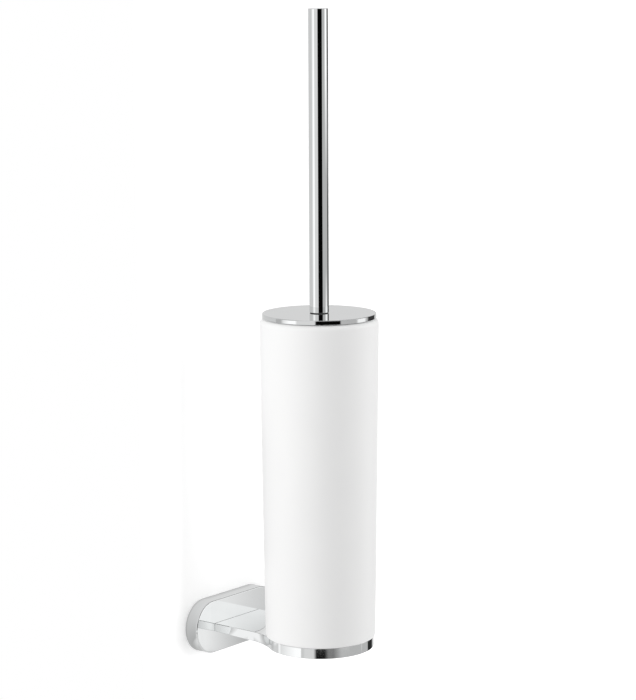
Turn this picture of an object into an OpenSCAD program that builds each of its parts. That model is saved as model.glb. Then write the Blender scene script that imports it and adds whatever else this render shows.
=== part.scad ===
// Wall-mounted toilet brush holder, in millimetres.
// +Z up, +X to the right seen from the front, +Y into the wall.
// The origin lies on the wall, at the centre of the rosette's back face.

/* [Wall rosette] */
// Width of the rosette
rosette_w = 91; // [84:1:130]
// Height of the rosette
rosette_h = 39.5; // [34:0.5:50]
// Distance that the rosette stands out from the wall
rosette_depth = 11; // [10:0.1:16]
// Radius of the rosette's front edge
rosette_edge = 0.8; // [0.3:0.1:1.5]
// Thickness of the rosette's side wall
rosette_wall = 3; // [2.4:0.1:4]
// Thickness of the rosette's front wall
rosette_front = 3.4; // [3:0.1:4.4]

/* [Wall plate] */
// Thickness of the wall plate
plate_t = 4.6; // [4:0.1:5]
// Distance between the two wall screws
fixing_spacing = 60; // [48:1:64]
// Diameter of the wall screw holes
fixing_hole_d = 5.2; // [4:0.1:6]
// Diameter of the countersinks for the wall screws
fixing_sink_d = 9.6; // [8:0.1:11]
// Width of the hook rib that the rosette hangs on
hook_w = 40; // [20:1:48]
// Height of the hook rib
hook_h = 1.6; // [1:0.1:2]
// Depth of the hook rib, measured out from the wall
hook_t = 1.6; // [1:0.1:2.2]

/* [Support arm] */
// Width of the arm
arm_w = 51; // [42:1:60]
// Thickness of the arm where it meets the rosette
arm_root_t = 6.1; // [5.8:0.1:7.2]
// Radius of the hollow curve between arm and ring
arm_blend_r = 40; // [20:1:60]
// Distance from the wall to the tumbler's axis
axis_out = 91; // [86:1:104]
// Height of the arm's top face above the rosette's centre
arm_top_z = 2.4; // [0:0.1:4]
// Diameter of the ring that carries the tumbler
ring_d = 77.6; // [76:0.1:79]
// Thickness of the ring
ring_t = 7.7; // [7.3:0.1:10]
// Diameter of the hole through the ring
ring_bore_d = 62; // [58:0.5:64]
// Size of the small bevel round the ring's edges
ring_bevel = 0.4; // [0.2:0.1:0.6]

/* [Small fasteners] */
// Distance between the two screws that hold the arm
arm_screw_spacing = 34; // [24:1:36]
// Diameter of the screws that hold the arm
arm_screw_d = 4; // [3:0.5:4]
// Depth that these screws reach into the arm
arm_screw_grip = 9; // [6:0.5:14]
// Diameter of the grub screw under the rosette
grub_d = 3.6; // [3:0.1:4]
// Width across the grub screw's hexagon socket
grub_socket = 2; // [1.5:0.1:2]

/* [Seat bush] */
// Wall thickness of the bush inside the ring
bush_wall = 1.6; // [1.2:0.1:2]
// Diameter of the bush's flange under the tumbler
bush_flange_d = 71; // [68:0.5:72]
// Thickness of the bush's flange
bush_flange_t = 1.1; // [0.8:0.1:1.6]
// Height of the flange above the ring's top face
bush_proud = 0.1; // [0.1:0.1:0.4]

/* [Tumbler] */
// Outer diameter of the tumbler just above the ring
tumbler_bottom_d = 80; // [79:0.5:82]
// Outer diameter of the tumbler at its rim
tumbler_top_d = 85.2; // [84:0.1:88]
// Height of the tumbler from the bush to its rim
tumbler_h = 233; // [200:0.5:260]
// Thickness of the tumbler's wall
tumbler_wall = 4.6; // [4:0.1:5.4]
// Thickness of the tumbler's floor
tumbler_floor = 6; // [5:0.5:10]
// Radius of the tumbler's lower outer edge
tumbler_edge = 1; // [0.6:0.1:3]
// Radius of the rim's outer edge
rim_edge = 3.6; // [2:0.1:3.8]
// Depth of the foot that drops into the bush
foot_h = 6; // [4:0.5:7]
// Width of the foot's ring of glass
foot_wall = 5; // [4:0.5:8]

/* [Lid] */
// Diameter of the lid
lid_d = 81.6; // [80:0.1:84]
// Thickness of the lid
lid_t = 3.6; // [3:0.1:5]
// Radius of the lid's upper edge
lid_edge = 0.6; // [0.5:0.1:1.4]
// Thickness of the centring cap's web under the lid
cap_web = 1.2; // [1:0.1:2]
// Height of the centring cap's skirt
cap_skirt_h = 5; // [4:0.5:8]
// Thickness of the centring cap's skirt
cap_skirt_t = 2.4; // [2:0.1:3]

/* [Handle] */
// Diameter of the handle rod
handle_d = 14; // [13:0.5:16]
// Height of the handle above the lid
handle_h = 215; // [150:1:260]
// Wall thickness of the handle tube
handle_wall = 1.2; // [1:0.1:2]
// Thickness of the handle's end cap
end_cap_t = 1.5; // [1:0.1:3]
// Length of the end cap's spigot inside the tube
end_cap_spigot = 8; // [5:0.5:15]
// Length of the threaded insert in the foot of the handle
handle_insert_l = 16; // [12:1:24]
// Thickness of the dark washer between handle and lid
seam_t = 0.5; // [0.3:0.1:0.8]

/* [Stem and stud] */
// Diameter of the threaded stud through the lid
stud_d = 6; // [5:0.5:6]
// Diameter of the washer under the lid
washer_d = 18; // [14:0.5:22]
// Thickness of the washer under the lid
washer_t = 1.2; // [1:0.1:2]
// Width across the lock nut's flats
nut_af = 10; // [9:0.5:13]
// Height of the lock nut
nut_h = 5; // [4:0.5:6]
// Diameter of the stem tube
stem_d = 10; // [9:0.5:12]
// Wall thickness of the stem tube
stem_wall = 1; // [0.8:0.1:1.2]
// Length of the plug at each end of the stem
stem_plug_l = 16; // [12:1:20]

/* [Brush] */
// Diameter over the bristles
brush_d = 66; // [56:1:67]
// Height of the lowest bristle tips above the tumbler's floor
brush_clearance = 9; // [5:1:20]
// Diameter of the brush core
core_d = 18; // [16:0.5:20]
// Length of the core's straight part
core_h = 68; // [60:1:80]
// Depth of the socket that takes the stem
core_socket = 14; // [10:1:18]
// Thickness of the sleeve that the tufts grow from
sleeve_t = 1.5; // [1:0.1:2]
// Rows of tufts up the brush
tuft_rows = 8; // [6:1:9]
// Tufts in each row
tufts_per_row = 14; // [10:2:16]
// Tufts round the brush's lower end
end_tufts = 8; // [6:1:10]
// Diameter of a tuft at its root
tuft_root_d = 2.2; // [1.6:0.1:2.6]
// Diameter of a tuft at its tip
tuft_tip_d = 4.4; // [3:0.1:5]
// Distance from the core's rounded end to the lower tuft tips
end_reach = 16; // [14:1:20]

/* [Hidden] */
$fn = 96;

// Clearances
slip = 0.3;         // between pieces that lift or hang on one another
bristle_gap = 2.4;   // least room between the bristles and the tumbler's wall
screw_slip = 0.2;   // between a screw and its clearance hole
past = 1;           // how far a cut runs past the face that it opens

// Wall plate and rosette
pocket_w = rosette_w - 2*rosette_wall;
pocket_h = rosette_h - 2*rosette_wall;
pocket_depth = rosette_depth - rosette_front;
plate_w = pocket_w - 2*slip;
plate_h = pocket_h - 2*slip;
fixing_sink_depth = (fixing_sink_d - fixing_hole_d)/2;
grub_out = plate_t/2 + 0.2;
grub_l = rosette_wall + slip - 0.4;

// Support arm
arm_root_z = arm_top_z - arm_root_t;
ring_z = arm_top_z - ring_t;
blend_x = arm_w/2 + arm_blend_r;
blend_run = sqrt(pow(ring_d/2 + arm_blend_r, 2) - pow(blend_x, 2));
blend_out = axis_out - blend_run;
blend_angle = atan2(blend_run, blend_x);
blend_end_out = axis_out - ring_d/2*sin(blend_angle);
arm_screw_z = arm_top_z - arm_root_t/2;
screw_head_h = rosette_front*0.6;
screw_head_d = arm_screw_d + 2*screw_head_h*0.9;

// Seat bush and tumbler
bush_bore_d = ring_bore_d - 2*bush_wall;
bush_top_z = arm_top_z + bush_proud;
flange_recess_t = bush_flange_t - bush_proud;
foot_d = bush_bore_d - 2*slip;
seat_z = bush_top_z;
floor_z = seat_z + tumbler_floor;
rim_z = seat_z + tumbler_h;
base_d = max(tumbler_bottom_d, brush_d + 2*(tumbler_wall + bristle_gap));   // wide enough for the brush
taper = (tumbler_top_d - base_d)/2/tumbler_h;
taper_angle = atan(taper);
mouth_d = tumbler_top_d - 2*tumbler_wall;
inner_edge = 4;
rim_inner_edge = (tumbler_wall - rim_edge)*0.6;

// Lid and handle
lid_top_z = rim_z + lid_t;
seam_z = lid_top_z + seam_t;
handle_top_z = lid_top_z + handle_h;
tube_top_z = handle_top_z - end_cap_t;
handle_bore_d = handle_d - 2*handle_wall;
handle_bevel = 0.3;
cap_d = mouth_d - 4*slip;
cap_web_z = rim_z - cap_web;
washer_z = cap_web_z - washer_t;
nut_z = washer_z - nut_h;

// Stem and brush
stem_top_z = nut_z;
stem_bore_d = stem_d - 2*stem_wall;
stem_plug_z = stem_top_z - stem_plug_l;
stud_z = stem_plug_z + 2;
stud_top_z = seam_z + handle_insert_l - 2;
core_z = floor_z + brush_clearance + end_reach;
core_top_z = core_z + core_h;
neck_top_z = core_top_z + core_socket + 6;
socket_z = neck_top_z - core_socket;
neck_d = stem_d + 5;
spigot_l = 14;
tuft_pitch = (core_h - 8)/(tuft_rows - 1);
sleeve_d = core_d + 2*sleeve_t;

chrome = [0.80, 0.81, 0.82];
steel = [0.62, 0.63, 0.64];
white = [0.93, 0.93, 0.92];

// Points of an arc, in degrees counter-clockwise from +X
function arc_points(centre, r, from, to, steps = 8) =
    [for (i = [0:steps]) let (a = from + (to - from)*i/steps)
        [centre[0] + r*cos(a), centre[1] + r*sin(a)]];

// Half section of a disc, with a rounded upper edge
function disc_section(r, h, edge) =
    concat([[0, 0], [r, 0]], arc_points([r - edge, h - edge], edge, 0, 90), [[0, h]]);

// Outline with straight long sides and round ends
module stadium(w, h) {
    square([w - h, h], center = true);
    for (side = [-1, 1]) translate([side*(w - h)/2, 0]) circle(d = h);
}

// A stadium that stands out from z = 0, with a rounded front edge
module rounded_stadium(w, h, t, edge) {
    section = disc_section(h/2, t, edge);
    run = w - h;
    rotate([90, 0, 90]) translate([0, 0, -run/2]) linear_extrude(run) {
        polygon(section);
        mirror([1, 0]) polygon(section);
    }
    for (side = [-1, 1])
        translate([side*run/2, 0, 0]) rotate([0, 0, -90*side])
            rotate_extrude(angle = 180) polygon(section);
}

// Turns a piece that stands out along +Z so that it stands out from the wall
module off_wall() {
    rotate([90, 0, 0]) children();
}

module at_fixings() {
    for (side = [-1, 1]) translate([side*fixing_spacing/2, 0, 0]) children();
}

module at_arm_screws() {
    for (side = [-1, 1]) translate([side*arm_screw_spacing/2, arm_screw_z, 0]) children();
}

module on_axis(z = 0) {
    translate([0, -axis_out, z]) children();
}

// Bar along Z with a bore right through it
module sleeve(d, bore, h) {
    difference() {
        cylinder(d = d, h = h);
        translate([0, 0, -past]) cylinder(d = bore, h = h + 2*past);
    }
}

// Flat plate that is screwed to the wall and carries the rosette
module wall_plate() {
    color(steel) off_wall() difference() {
        linear_extrude(plate_t) stadium(plate_w, plate_h);
        at_fixings() {
            translate([0, 0, -past]) cylinder(d = fixing_hole_d, h = plate_t + 2*past);
            translate([0, 0, plate_t - fixing_sink_depth])
                cylinder(d1 = fixing_hole_d, d2 = fixing_sink_d, h = fixing_sink_depth);
        }
        translate([-hook_w/2 - slip, plate_h/2 - hook_h, -past])
            cube([hook_w + 2*slip, hook_h + past, hook_t + slip + past]);
    }
}

// Hollow cover over the wall plate, which the arm is screwed to
module rosette() {
    color(chrome) off_wall() {
        difference() {
            rounded_stadium(rosette_w, rosette_h, rosette_depth, rosette_edge);
            translate([0, 0, -past]) linear_extrude(pocket_depth + past)
                stadium(pocket_w, pocket_h);
            at_arm_screws() {
                cylinder(d = arm_screw_d + 2*screw_slip, h = rosette_depth + past);
                translate([0, 0, pocket_depth])
                    cylinder(d1 = screw_head_d, d2 = arm_screw_d, h = screw_head_h);
            }
            translate([0, -rosette_h/2 - past, grub_out]) rotate([-90, 0, 0])
                cylinder(d = grub_d, h = rosette_wall + 2*past);
        }
        translate([-hook_w/2, pocket_h/2 - hook_h, 0]) cube([hook_w, hook_h + slip, hook_t]);
    }
}

// Headless screw that locks the rosette from below
module grub_screw() {
    color(steel) off_wall() translate([0, -plate_h/2 - grub_l, grub_out]) rotate([-90, 0, 0])
        difference() {
            cylinder(d = grub_d, h = grub_l);
            translate([0, 0, -past]) cylinder(d = grub_socket/cos(30), h = past + grub_l/2, $fn = 6);
        }
}

// Plan of the arm: straight sides that sweep out into the ring
module arm_plan() {
    side = concat(
        [[arm_w/2, -rosette_depth]],
        arc_points([blend_x, -blend_out], arm_blend_r, 180, 180 + blend_angle, 16)
    );
    polygon(concat([[0, -rosette_depth]], side, [[0, -axis_out]]));
    mirror([1, 0]) polygon(concat([[0, -rosette_depth]], side, [[0, -axis_out]]));
}

// Side view of the arm: level on top, deeper towards the ring
module arm_side_view() {
    polygon([
        [-rosette_depth, arm_root_z], [-rosette_depth, arm_top_z],
        [-axis_out, arm_top_z], [-axis_out, ring_z], [-blend_end_out, ring_z]
    ]);
}

// Half section of the ring, bored and recessed for the bush
module ring_section() {
    r = ring_d/2;
    polygon([
        [ring_bore_d/2, ring_z], [r - ring_bevel, ring_z], [r, ring_z + ring_bevel],
        [r, arm_top_z - ring_bevel], [r - ring_bevel, arm_top_z],
        [bush_flange_d/2 + slip/2, arm_top_z],
        [bush_flange_d/2 + slip/2, arm_top_z - flange_recess_t],
        [ring_bore_d/2, arm_top_z - flange_recess_t]
    ]);
}

// One casting: the arm that stands out from the rosette, and the ring
module support_arm() {
    color(chrome) {
        difference() {
            intersection() {
                translate([0, 0, ring_z]) linear_extrude(ring_t) arm_plan();
                rotate([90, 0, 90]) translate([0, 0, -ring_d/2]) linear_extrude(ring_d)
                    arm_side_view();
            }
            on_axis(ring_z - past) cylinder(d = ring_d - 2, h = ring_t + 2*past);
            translate([0, -rosette_depth, 0]) rotate([90, 0, 0]) translate([0, 0, -past])
                at_arm_screws() cylinder(d = arm_screw_d, h = arm_screw_grip + past);
        }
        on_axis() rotate_extrude() ring_section();
    }
}

// Two countersunk screws that pull the arm against the rosette
module arm_screws() {
    color(steel) off_wall() at_arm_screws() translate([0, 0, pocket_depth]) difference() {
        union() {
            cylinder(d = arm_screw_d, h = rosette_front + arm_screw_grip);
            cylinder(d1 = screw_head_d - 2*screw_slip, d2 = arm_screw_d - 2*screw_slip, h = screw_head_h);
        }
        translate([0, 0, -past]) cylinder(d = arm_screw_d/2, h = past + screw_head_h/2, $fn = 6);
    }
}

// Plastic bush that lines the ring and cushions the tumbler
module seat_bush() {
    color(white) on_axis() rotate_extrude() polygon([
        [bush_bore_d/2, ring_z + ring_bevel], [ring_bore_d/2, ring_z + ring_bevel],
        [ring_bore_d/2, arm_top_z - flange_recess_t],
        [bush_flange_d/2, arm_top_z - flange_recess_t],
        [bush_flange_d/2, bush_top_z], [bush_bore_d/2, bush_top_z]
    ]);
}

// Radius of the tumbler's outside at a height above its seat
function tumbler_r(h) = base_d/2 + taper*h;

// Half section of the tumbler, from the foot up the outside and down the inside
function tumbler_section() = concat(
    [
        [foot_d/2 - foot_wall, -foot_h], [foot_d/2, -foot_h], [foot_d/2, 0]
    ],
    arc_points([tumbler_r(tumbler_edge) - tumbler_edge, tumbler_edge], tumbler_edge,
        -90, -taper_angle, 10),
    arc_points([tumbler_r(tumbler_h - rim_edge) - rim_edge, tumbler_h - rim_edge], rim_edge,
        -taper_angle, 90, 10),
    arc_points([mouth_d/2 + rim_inner_edge, tumbler_h - rim_inner_edge], rim_inner_edge,
        90, 180, 6),
    arc_points([tumbler_r(tumbler_floor) - tumbler_wall - inner_edge, tumbler_floor + inner_edge],
        inner_edge, -taper_angle, -90, 10),
    [[0, tumbler_floor], [0, tumbler_floor - foot_wall], [foot_d/2 - foot_wall, tumbler_floor - foot_wall]]
);

// Satin glass tumbler with a foot that drops into the bush
module tumbler() {
    color(white) on_axis(seat_z) rotate_extrude() polygon(tumbler_section());
}

// Flat round lid with a softened upper edge
module lid_disc() {
    color(chrome) on_axis(rim_z) difference() {
        rotate_extrude() polygon(disc_section(lid_d/2, lid_t, lid_edge));
        translate([0, 0, -past]) cylinder(d = stud_d + 2*screw_slip, h = lid_t + 2*past);
    }
}

// Plastic cap under the lid that keeps it central in the tumbler's mouth
module lid_centring_cap() {
    color(white) on_axis() rotate_extrude() polygon([
        [stud_d/2 + screw_slip, rim_z], [cap_d/2, rim_z],
        [cap_d/2, rim_z - cap_skirt_h + 0.8], [cap_d/2 - 0.8, rim_z - cap_skirt_h],
        [cap_d/2 - cap_skirt_t, rim_z - cap_skirt_h],
        [cap_d/2 - cap_skirt_t, cap_web_z], [stud_d/2 + screw_slip, cap_web_z]
    ]);
}

module lid_washer() {
    color(steel) on_axis(washer_z) sleeve(washer_d, stud_d + 2*screw_slip, washer_t);
}

module lock_nut() {
    color(steel) on_axis(nut_z) difference() {
        cylinder(d = nut_af/cos(30), h = nut_h, $fn = 6);
        translate([0, 0, -past]) cylinder(d = stud_d, h = nut_h + 2*past);
    }
}

// Threaded stud that ties handle, lid and stem together
module threaded_stud() {
    color(steel) on_axis(stud_z) cylinder(d = stud_d, h = stud_top_z - stud_z);
}

// Thin dark washer that shows as a seam at the handle's foot
module handle_washer() {
    color("black") on_axis(lid_top_z) sleeve(handle_d - 0.8, stud_d + 2*screw_slip, seam_t);
}

// Threaded insert pressed into the foot of the handle
module handle_insert() {
    color(steel) on_axis(seam_z) sleeve(handle_bore_d, stud_d, handle_insert_l);
}

// Long plain tube that the hand takes hold of
module handle_tube() {
    color(chrome) on_axis(seam_z) sleeve(handle_d, handle_bore_d, tube_top_z - seam_z);
}

// Flat end of the handle, with a spigot inside the tube
module handle_end_cap() {
    color(chrome) on_axis(tube_top_z) {
        rotate_extrude() polygon(disc_section(handle_d/2, end_cap_t, handle_bevel));
        translate([0, 0, -end_cap_spigot]) cylinder(d = handle_bore_d, h = end_cap_spigot);
    }
}

// Stem between the lid and the brush
module stem_tube() {
    color(chrome) on_axis(socket_z) sleeve(stem_d, stem_bore_d, stem_top_z - socket_z);
}

// Plug in the top of the stem, which the stud screws into
module stem_top_plug() {
    color(steel) on_axis(stem_plug_z) sleeve(stem_bore_d, stud_d, stem_plug_l);
}

// Plug in the foot of the stem, with a spigot that screws into the core
module stem_lower_plug() {
    color(steel) on_axis() {
        translate([0, 0, socket_z]) cylinder(d = stem_bore_d, h = stem_plug_l);
        translate([0, 0, socket_z - spigot_l]) cylinder(d = stud_d, h = spigot_l);
    }
}

// Round-ended core of the brush, with a neck that takes the stem
module brush_core() {
    color(white) on_axis() difference() {
        rotate_extrude() polygon(concat(
            arc_points([0, core_z], core_d/2, -90, 0, 12),
            [
                [core_d/2, core_top_z], [core_d/2, core_top_z + 2],
                [neck_d/2, core_top_z + 8], [neck_d/2, neck_top_z], [0, neck_top_z]
            ]
        ));
        translate([0, 0, socket_z]) cylinder(d = stem_d, h = core_socket + past);
        translate([0, 0, socket_z - spigot_l]) cylinder(d = stud_d, h = spigot_l + past);
    }
}

// One tuft along +Z, from inside the sleeve to its tip
module tuft(tip) {
    root = core_d/2 + sleeve_t/2;
    translate([0, 0, root]) cylinder(d1 = tuft_root_d, d2 = tuft_tip_d, h = tip - root, $fn = 16);
}

// Bristles: staggered rows of tufts, with a few round the lower end
module bristles() {
    color(white) on_axis() {
        rotate_extrude() polygon(concat(
            arc_points([0, core_z], sleeve_d/2, -90, 0, 12),
            [[sleeve_d/2, core_top_z], [core_d/2, core_top_z]],
            arc_points([0, core_z], core_d/2, 0, -90, 12)
        ));
        for (row = [0:tuft_rows - 1], i = [0:tufts_per_row - 1])
            translate([0, 0, core_z + 4 + row*tuft_pitch])
                rotate([0, 90, (i + (row % 2)/2)*360/tufts_per_row]) tuft(brush_d/2);
        for (i = [0:end_tufts - 1])
            translate([0, 0, core_z]) rotate([0, 135, i*360/end_tufts]) tuft(end_reach*1.35);
        translate([0, 0, core_z]) rotate([0, 180, 0]) tuft(end_reach);
    }
}

wall_plate();
rosette();
grub_screw();
support_arm();
arm_screws();
seat_bush();
tumbler();
lid_disc();
lid_centring_cap();
lid_washer();
lock_nut();
threaded_stud();
handle_washer();
handle_insert();
handle_tube();
handle_end_cap();
stem_tube();
stem_top_plug();
stem_lower_plug();
brush_core();
bristles();
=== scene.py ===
"""Looks of the wall-mounted toilet brush holder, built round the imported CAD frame. All lengths are metres."""

import math
import random

import bmesh
import bpy
from mathutils import Matrix, Quaternion, Vector


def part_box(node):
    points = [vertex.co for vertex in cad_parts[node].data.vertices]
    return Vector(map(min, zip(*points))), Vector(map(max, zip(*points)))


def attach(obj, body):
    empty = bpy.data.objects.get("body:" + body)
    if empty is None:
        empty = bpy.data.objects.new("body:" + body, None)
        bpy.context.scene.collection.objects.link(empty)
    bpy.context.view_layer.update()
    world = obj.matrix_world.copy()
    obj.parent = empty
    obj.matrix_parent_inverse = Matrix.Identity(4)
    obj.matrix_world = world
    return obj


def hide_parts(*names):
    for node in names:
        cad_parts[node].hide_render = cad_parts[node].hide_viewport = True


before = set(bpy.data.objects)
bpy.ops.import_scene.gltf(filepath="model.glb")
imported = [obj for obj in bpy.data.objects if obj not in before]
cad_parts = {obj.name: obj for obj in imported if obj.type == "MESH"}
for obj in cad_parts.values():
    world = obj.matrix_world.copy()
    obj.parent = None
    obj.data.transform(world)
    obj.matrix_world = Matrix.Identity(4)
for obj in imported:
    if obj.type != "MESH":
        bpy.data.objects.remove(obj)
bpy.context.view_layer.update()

MM = 0.001
scene = bpy.context.scene


# ---------------------------------------------------------------- sizes, from the CAD nodes

def radius_of(node):
    """Half the width of a CAD node."""
    low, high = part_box(node)
    return (high.x - low.x) / 2


def span_of(node):
    """Lowest and highest Z of a CAD node."""
    low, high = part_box(node)
    return low.z, high.z


low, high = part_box("handle_tube")
AXIS = Vector(((low.x + high.x) / 2, (low.y + high.y) / 2, 0))
FROM_AXIS = Matrix.Translation(AXIS)
# local Z points out of the wall
OFF_WALL = Matrix(((1, 0, 0, 0), (0, 0, -1, 0), (0, 1, 0, 0), (0, 0, 0, 1)))


# ---------------------------------------------------------------- mesh helpers

ON_AXIS = 1e-9           # a smaller radius is on the axis
WELD_GRID = 1e7          # steps in a metre: corners on the same step are one vertex


def mesh_piece(name, verts, faces, normals=None):
    """A new object from vertices, faces and, where given, one normal for each face corner."""
    mesh = bpy.data.meshes.new(name)
    mesh.from_pydata(verts, [], faces)
    mesh.shade_smooth()
    if normals:
        mesh.normals_split_custom_set(normals)
    mesh.update()
    piece = bpy.data.objects.new(name, mesh)
    scene.collection.objects.link(piece)
    return piece


def line(*points):
    """Straight runs of a section. The solid lies to the left of the way of travel."""
    runs = []
    for (r0, z0), (r1, z1) in zip(points, points[1:]):
        length = math.hypot(r1 - r0, z1 - z0)
        normal = ((z1 - z0) / length, (r0 - r1) / length)
        runs.append([(r0, z0, *normal), (r1, z1, *normal)])
    return runs


def arc(r, z, radius, start, end, steps=8):
    """A curved run round (r, z), in degrees. Counter-clockwise is a rounded edge, clockwise a hollow."""
    side = 1 if end > start else -1
    run = []
    for i in range(steps + 1):
        a = math.radians(start + (end - start) * i / steps)
        c, s = math.cos(a), math.sin(a)
        run.append((r + radius * c, z + radius * s, side * c, side * s))
    return [run]


def circle(steps):
    """Places round a circle: centre shift along X, and the unit direction."""
    angles = [2 * math.pi * i / steps for i in range(steps)]
    return [(0.0, math.cos(a), math.sin(a)) for a in angles]


def stadium(half_run, steps):
    """Places round a stadium: two half circles, each half_run from the middle."""
    places = []
    for side, start in ((1, -90), (-1, 90)):
        for i in range(steps + 1):
            a = math.radians(start + 180 * i / steps)
            places.append((side * half_run, math.cos(a), math.sin(a)))
    return places


def spin_parts(section, places, matrix, skip=lambda place, run: False):
    """Vertices, faces and corner normals of a section taken round the places."""
    verts, faces, normals = [], [], []
    turn = matrix.to_3x3()
    for number, run in enumerate(section):
        first = len(verts)
        for point in run:
            for shift, c, s in places:
                verts.append(matrix @ Vector((shift + point[0] * c, point[0] * s, point[1])))
        count = len(places)
        for k in range(len(run) - 1):
            for i in range(count):
                if skip(i, number):
                    continue
                j = (i + 1) % count
                corners = [(k, i), (k, j), (k + 1, j), (k + 1, i)]
                same_centre = places[i][0] == places[j][0]
                for row in (k, k + 1):
                    if run[row][0] < ON_AXIS and same_centre:
                        corners.remove((row, j))
                faces.append([first + a * count + b for a, b in corners])
                for a, b in corners:
                    out, up = run[a][2], run[a][3]
                    _, c, s = places[b]
                    normals.append(turn @ Vector((out * c, out * s, up)))
    return verts, faces, normals


def joined(*parts):
    """Several sets of vertices, faces and normals as one."""
    verts, faces, normals = [], [], []
    for v, f, n in parts:
        faces += [[i + len(verts) for i in face] for face in f]
        verts += v
        normals += n
    return verts, faces, normals


def lathe(name, section, steps=160):
    """A round piece on the holder's axis, from a section of radii and heights."""
    verts, faces, normals = spin_parts(section, circle(steps), FROM_AXIS)
    return welded(mesh_piece(name, verts, faces, normals))


def welded(piece):
    """Joins the runs of a section where they meet, and keeps each corner's normal."""
    mesh = piece.data
    kept = [tuple(n.vector) for n in mesh.corner_normals]
    index, verts = {}, []
    places = []
    for v in mesh.vertices:
        key = tuple(round(x * WELD_GRID) for x in v.co)
        if key not in index:
            index[key] = len(verts)
            verts.append(v.co.copy())
        places.append(index[key])
    faces, normals = [], []
    for polygon in mesh.polygons:
        corners = [places[i] for i in polygon.vertices]
        if len(set(corners)) < 3:
            continue
        keep, seen = [], set()
        for corner, loop in zip(corners, polygon.loop_indices):
            if corner not in seen:
                seen.add(corner)
                keep.append((corner, kept[loop]))
        faces.append([c for c, _ in keep])
        normals += [n for _, n in keep]
    name = piece.name
    bpy.data.objects.remove(piece)
    bpy.data.meshes.remove(mesh)
    return mesh_piece(name, verts, faces, normals)


# ---------------------------------------------------------------- node helpers

class Nodes:
    """Short calls to build a node tree."""

    def __init__(self, tree):
        self.tree = tree
        tree.nodes.clear()

    def add(self, kind, **inputs):
        """A new node. An input's name has _ for each space."""
        node = self.tree.nodes.new(kind)
        for key, value in inputs.items():
            self.put(node.inputs[key.replace("_", " ")], value)
        return node

    def put(self, socket, value):
        """Links a socket or a node's first output, or sets a constant."""
        if isinstance(value, bpy.types.NodeSocket):
            self.tree.links.new(value, socket)
        elif isinstance(value, bpy.types.Node):
            self.tree.links.new(value.outputs[0], socket)
        else:
            socket.default_value = value

    def math(self, operation, a, b=0.0):
        """A sum, product or the like of one or two values."""
        node = self.tree.nodes.new("ShaderNodeMath")
        node.operation = operation
        self.put(node.inputs[0], a)
        self.put(node.inputs[1], b)
        return node

    def scaled(self, value, from_low, from_high, to_low=0.0, to_high=1.0):
        """The value's place in one range, carried over to another and clamped there."""
        node = self.tree.nodes.new("ShaderNodeMapRange")
        for socket, v in zip(node.inputs, (value, from_low, from_high, to_low, to_high)):
            self.put(socket, v)
        return node

    def blend(self, share, a, b):
        """A number between a and b."""
        node = self.tree.nodes.new("ShaderNodeMix")
        for place, value in ((0, share), (2, a), (3, b)):
            self.put(node.inputs[place], value)
        return node

    def mix(self, share, a, b):
        """A colour between a and b."""
        node = self.tree.nodes.new("ShaderNodeMix")
        node.data_type = "RGBA"
        self.put(node.inputs["Factor"], share)
        self.put(node.inputs[6], a)
        self.put(node.inputs[7], b)
        return node.outputs[2]


def rgb(*values):
    """An opaque colour from three values, or a grey from one."""
    return (*values, 1.0) if len(values) == 3 else (values[0],) * 3 + (1.0,)


def surface(name, colour, shade, metallic, roughness, spread, smudge, grain, depth,
            stretch=(1, 1, 1), **fixed):
    """A procedural surface: cloudy colour and roughness (smudge per metre) and relief (grain per metre)."""
    made = bpy.data.materials.new(name)
    made.use_nodes = True
    n = Nodes(made.node_tree)
    where = n.add("ShaderNodeTexCoord").outputs["Object"]
    drawn = n.add("ShaderNodeMapping", Vector=where, Scale=stretch)
    cloud = n.add("ShaderNodeTexNoise", Vector=drawn, Scale=smudge, Detail=4.0)
    fine = n.add("ShaderNodeTexNoise", Vector=drawn, Scale=grain, Detail=2.0)
    tone = n.mix(n.scaled(cloud, 0.35, 0.65), colour, shade)
    rough = n.scaled(cloud, 0.3, 0.7, roughness - spread, roughness + spread)
    relief = n.add("ShaderNodeBump", Height=fine, Strength=1.0, Distance=depth)
    shader = n.add("ShaderNodeBsdfPrincipled", Base_Color=tone, Metallic=metallic, Roughness=rough,
                   Normal=relief)
    for key, value in fixed.items():
        shader.inputs[key.replace("_", " ")].default_value = value
    n.add("ShaderNodeOutputMaterial", Surface=shader)
    return made


chrome = surface(
    "chrome", rgb(0.765, 0.775, 0.775), rgb(0.75, 0.76, 0.762), metallic=1.0,
    roughness=0.022, spread=0.012, smudge=45, grain=900, depth=2e-8)
polished_steel = surface(
    "polished_steel", rgb(0.70, 0.70, 0.69), rgb(0.66, 0.66, 0.65), metallic=1.0,
    roughness=0.12, spread=0.05, smudge=60, grain=1400, depth=1e-6)
brushed_steel = surface(
    "brushed_steel", rgb(0.60, 0.60, 0.59), rgb(0.52, 0.52, 0.515), metallic=1.0,
    roughness=0.33, spread=0.08, smudge=70, grain=2200, depth=6e-6, stretch=(0.04, 1, 1))
satin_glass = surface(
    "satin_glass", rgb(0.925, 0.925, 0.922), rgb(0.915, 0.915, 0.913), metallic=0.0,
    roughness=0.50, spread=0.04, smudge=30, grain=5200, depth=4e-6, IOR=1.47)
white_plastic = surface(
    "white_plastic", rgb(0.86, 0.86, 0.85), rgb(0.83, 0.83, 0.82), metallic=0.0,
    roughness=0.36, spread=0.06, smudge=60, grain=2500, depth=6e-6)
bush_plastic = surface(
    "bush_plastic", rgb(0.80, 0.80, 0.79), rgb(0.75, 0.75, 0.74), metallic=0.0,
    roughness=0.45, spread=0.06, smudge=80, grain=2500, depth=8e-6)
# black for the washer at the handle's base: painted shade for the dark shadow line where the handle meets the
# lid
black_nylon = surface(
    "black_nylon", rgb(0.022, 0.022, 0.023), rgb(0.03, 0.03, 0.031), metallic=0.0,
    roughness=0.5, spread=0.08, smudge=90, grain=3000, depth=8e-6)
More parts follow.
